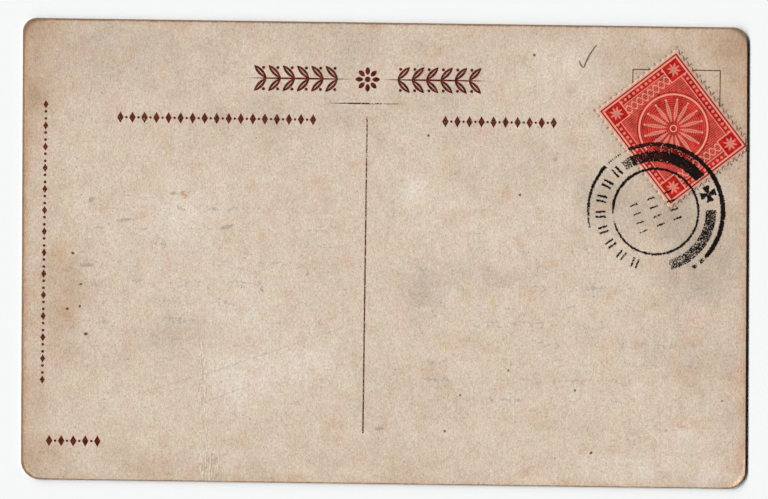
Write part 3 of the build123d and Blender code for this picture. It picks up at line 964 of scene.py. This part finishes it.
def ring_patch(inner, outer, start, end, take):
    """Part of a ring with its bleed, by angle in degrees and radius: x, y, distance in, and take,
    which is a function of the angle."""
    middle = (inner + outer) / 2
    spread = math.degrees(BLEED / middle)
    angles = np.arange(start - spread, end + spread, math.degrees(STEP / middle))
    radii = np.linspace(inner - BLEED, outer + BLEED, max(5, int((outer - inner + 2 * BLEED) / STEP)))
    radius, angle = np.meshgrid(radii, angles)
    ends = np.radians(np.minimum(angle - start, end - angle)) * middle
    within = np.minimum(np.minimum(radius - inner, outer - radius), ends)
    x = MARK_CENTRE[0] + radius * np.cos(np.radians(angle))
    y = MARK_CENTRE[1] + radius * np.sin(np.radians(angle))
    return x, y, within, take(angle)


def bar_patch(place, turn, length, start_width, end_width, take):
    """A straight bar with its bleed, along its length from a place and turned: x, y, distance in, take.
    Its width goes evenly from one value to another."""
    share, across = np.meshgrid(
        np.linspace(-BLEED / length, 1 + BLEED / length, max(6, int(length / STEP))),
        np.linspace(-1, 1, max(5, int((max(start_width, end_width) + 2 * BLEED) / STEP))),
        indexing="ij",
    )
    half = (start_width + (end_width - start_width) * np.clip(share, 0, 1)) / 2
    off = across * (half + BLEED)
    within = np.minimum(half - np.abs(off), np.minimum(share, 1 - share) * length)
    cosine, sine = polar(1, turn)
    x = MARK_CENTRE[0] + place[0] + share * length * cosine - off * sine
    y = MARK_CENTRE[1] + place[1] + share * length * sine + off * cosine
    return x, y, within, np.full_like(x, take)


def ink_mesh(patches, lift):
    """Closed films that lie on whatever is under them, joined into one mesh with its fields."""
    sheets = []
    for x, y, within, take in patches:
        if (x[0, 1] - x[0, 0]) * (y[1, 0] - y[0, 0]) < (y[0, 1] - y[0, 0]) * (x[1, 0] - x[0, 0]):
            x, y, within, take = (grid[:, ::-1] for grid in (x, y, within, take))
        ground = ground_height(x, y) + lift
        sheets.append(closed_sheet(x, y, ground + FILM, ground, {"within": within, "take": take}))
    points, faces, fields = zip(*sheets)
    starts = np.cumsum([0, *(len(part) for part in points[:-1])])
    shifted = [part + start for part, start in zip(faces, starts)]
    joined = {key: np.concatenate([part[key] for part in fields]) for key in fields[0]}
    return np.concatenate(points), np.concatenate(shifted), joined


def postmark_patches():
    """The mark's rings, bars, cross, ticks and strokes, each with how densely it took."""
    inner = 8.05
    line_width = 0.38
    bar_inner = inner + line_width + 1.2
    bar_outer = bar_inner + 2.06
    rim_inner = bar_outer + 0.9
    middle = (bar_inner + bar_outer) / 2
    cross_turn = 19.2
    first_tick = 134.8
    tick_step = 114 / 7
    stroke_turn = 202

    def broken_left(angle):
        gap = bell(angle % 360 - 190, 10)
        bold = bell(angle % 360 - 140, 38)
        thin = bell(angle % 360 - 250, 45)
        return 0.9 + 0.12 * bold - 0.08 * thin - 0.5 * gap + 0.06 * sway(angle, 37, 0.8)

    def heavy(angle):
        return 0.86 - 0.15 * rise(angle, 70, 104) + 0.06 * sway(angle, 23, 1.1)

    def patchy(angle):
        return 0.57 + 0.12 * rise(angle, -70, -10) + 0.04 * sway(angle, 11, 2.4)

    def fading(angle):
        tail = rise(angle, -39, -43) * (0.45 - 0.25 * np.cos(np.radians(angle + 46.5) * 42))
        bold = 0.94 - 0.08 * rise(angle, 24, 54) - tail
        return bold - 0.16 * rise(angle, 66, 84) + 0.05 * sway(angle, 13, 1.6)

    def thinning(angle):
        ends = 0.2 * rise(angle, 150, 166) + 0.26 * rise(angle, 180, 186)
        return 0.94 - ends + 0.1 * sway(angle, 17, 0.2)

    def dotted(angle):
        return 0.58 + 0.25 * np.sin(np.radians(angle) * 180)

    def ragged(angle):
        return 0.68 - 0.2 * rise(angle, 117, 126)

    def smeared(angle):
        return 0.6 - 0.0004 * (angle - 74) ** 2

    patches = [
        ring_patch(inner, inner + line_width, 190.3, 549.7, broken_left),
        ring_patch(bar_inner, bar_outer, 37.6, 116.8, heavy),
        ring_patch(bar_inner, bar_outer, 117.4, 126, ragged),
        ring_patch(bar_inner, bar_outer, -75, 2.4, patchy),
        ring_patch(rim_inner, MARK_RADIUS, -56, 114.8, fading),
        ring_patch(rim_inner + 0.15, MARK_RADIUS - 0.1, 138.8, 194.8, thinning),
        ring_patch(rim_inner + 0.25, MARK_RADIUS - 0.25, 122, 136, dotted),
        ring_patch(bar_outer - 0.15, rim_inner + 0.1, 48, 104, smeared),
    ]
    for arm in range(4):
        turn = cross_turn + 90 * arm
        start = polar(middle, cross_turn) + polar(0.15, turn)
        patches.append(bar_patch(start, turn, 1.4, 0.5, 1.5, 0.84))
    for k in range(8):
        angle = first_tick + k * tick_step
        for side in (-1, 1):
            start = polar(bar_inner + 0.08, angle) + polar(0.475 * side, angle + 90)
            patches.append(bar_patch(start, angle, 1.9, line_width, line_width, 0.92 - 0.03 * k))
    for row in range(3):
        for k in range(4):
            centre = polar((k - 1.5) * 1.8, stroke_turn - 90) + polar((row - 1) * 3.5, stroke_turn)
            start = centre - polar(0.8, stroke_turn)
            patches.append(bar_patch(start, stroke_turn, 1.6, 0.3, 0.3, 0.85 - 0.05 * row))
    return patches


def struck_ink():
    """Black ink whose cover is the distance in, less where it took thinly, made ragged by two noises."""
    made, place = new_material("postmark_ink")
    fine = place.noise(3.4, 2, 0.7)
    body = place.noise(0.9, 3, 0.6)
    edge = (place.field("within") * 5 + 0.25).least(0.8)
    thin = (place.field("take") - 1) * 1.9
    cover = edge + thin + (fine - 0.5) * 2.8 + (body - 0.5) * 1.3 + 0.38
    return finish_material(
        made,
        Base_Color=(fine * 0.5 + body * 0.5).tint(screen(5, 2, 2), screen(30, 23, 20)),
        Roughness=fine * 0.3 + 0.5,
        Alpha=cover.ramp(0, 0.8) * 0.94,
        Specular_IOR_Level=0.1,
    )


MARK_MESH = ink_mesh(postmark_patches(), 0.002)
piece("postmark_impression", *MARK_MESH, struck_ink(), "postmark_ink", "postmark_ink")


# Pencil stroke
# A quick tick in soft pencil near the head of the card, drawn in two bowed strokes. Its graphite was
# rubbed off on the tops of the fibres, so the paper shows through it.
pencil_low, pencil_high = box_mm("pencil_mark")


def pencil_patches():
    """Two bowed strokes: a parabola bow on the chord, with a width that swells by a sine."""
    margin = 0.15
    low = pencil_low[:2] + margin
    size = pencil_high[:2] - pencil_low[:2] - 2 * margin
    tip = low + size * (0, 0.3)
    turn = low + size * (0.25, 0)
    patches = []
    for start, end, bow in ((tip, turn, -0.2), (turn, low + size, 0.25)):
        chord = end - start
        normal = np.array([-chord[1], chord[0]]) / np.hypot(*chord)
        share, across = np.meshgrid(np.linspace(0, 1, 40), np.linspace(-1, 1, 7), indexing="ij")
        half = 0.15 + 0.05 * np.sin(np.pi * share)
        off = across * (half + 0.1)
        sweep = 4 * bow * share * (1 - share) + off
        x = start[0] + chord[0] * share + normal[0] * sweep
        y = start[1] + chord[1] * share + normal[1] * sweep
        patches.append((x, y, half - np.abs(off), 0.75 - 0.2 * share))
    return patches


def graphite():
    """Grey graphite that sits on the fibre tops, so a fine noise breaks its cover."""
    made, place = new_material("graphite")
    fine = place.noise(3.6, 2, 0.7)
    edge = (place.field("within") * 6).least(0.6)
    cover = edge + (fine - 0.5) * 2 + (place.field("take") - 0.6)
    return finish_material(
        made,
        Base_Color=fine.tint(screen(92, 86, 80), screen(128, 120, 112)),
        Roughness=fine * 0.2 + 0.4,
        Alpha=cover.ramp(0, 0.6) * 0.42,
        Metallic=0.1,
    )


piece("pencil_stroke", *ink_mesh(pencil_patches(), 0.001), graphite(), "pencil_mark", "graphite")


# Stage
# A plain pale floor, one long lamp beside the card's left edge, and a camera square above the card that
# is turned a little about its line of sight.
floor_mesh = bpy.data.meshes.new("floor")
floor_mesh.from_pydata([(-6, -6, 0), (6, -6, 0), (6, 6, 0), (-6, 6, 0)], [], [(0, 1, 2, 3)])
floor_finish = new_material("pale_floor")[0]
finish_material(floor_finish, Base_Color=screen(247, 248, 248), Roughness=0.9, Specular_IOR_Level=0)
floor_mesh.materials.append(floor_finish)
floor = show("floor", floor_mesh)


def sun(name, share, towards, angle):
    """A sun that gives a level surface a share of full light, with a direction and a width in degrees."""
    lamp = bpy.data.lights.new(name, "SUN")
    lamp.energy = share * math.pi * towards.length / towards.z
    lamp.angle = math.radians(angle)
    show(name, lamp).rotation_euler = towards.to_track_quat("Z", "Y").to_euler()


# The lamp is a row of suns at one slope across the card, each leaning further along it than the last
LAMP_SLOPE = 0.67
sun("lamp_middle", 0.228, Vector((-1, 0.23, LAMP_SLOPE)), 8)
for lean, head_share, foot_share in ((0.52, 0.27, 0.165), (1.35, 0.12, 0.1), (3.1, 0.055, 0.05)):
    sun(f"lamp_head_{lean}", head_share, Vector((-1, lean, LAMP_SLOPE)), 12)
    sun(f"lamp_foot_{lean}", foot_share, Vector((-1, -lean, LAMP_SLOPE)), 12)
world = bpy.data.worlds.new("studio")
world.use_nodes = True
backdrop = world.node_tree.nodes["Background"].inputs
backdrop["Color"].default_value = (1, 1, 1, 1)
backdrop["Strength"].default_value = 0.009
bpy.context.scene.world = world
bpy.context.scene.view_settings.view_transform = "Standard"

FRAME_WIDTH = 0.148
CAMERA_HEIGHT = 1.5
SENSOR = 36
ROLL = math.radians(0.78)
AIM = (-0.00004, 0.00073)
camera_data = bpy.data.cameras.new("camera")
camera_data.sensor_width = SENSOR
camera_data.lens = SENSOR * CAMERA_HEIGHT / FRAME_WIDTH
camera_data.clip_end = 20
camera = show("camera", camera_data)
camera.rotation_euler = (0, 0, ROLL)
camera.location = Matrix.Rotation(ROLL, 3, "Z") @ Vector((*AIM, CAMERA_HEIGHT))
bpy.context.scene.camera = camera
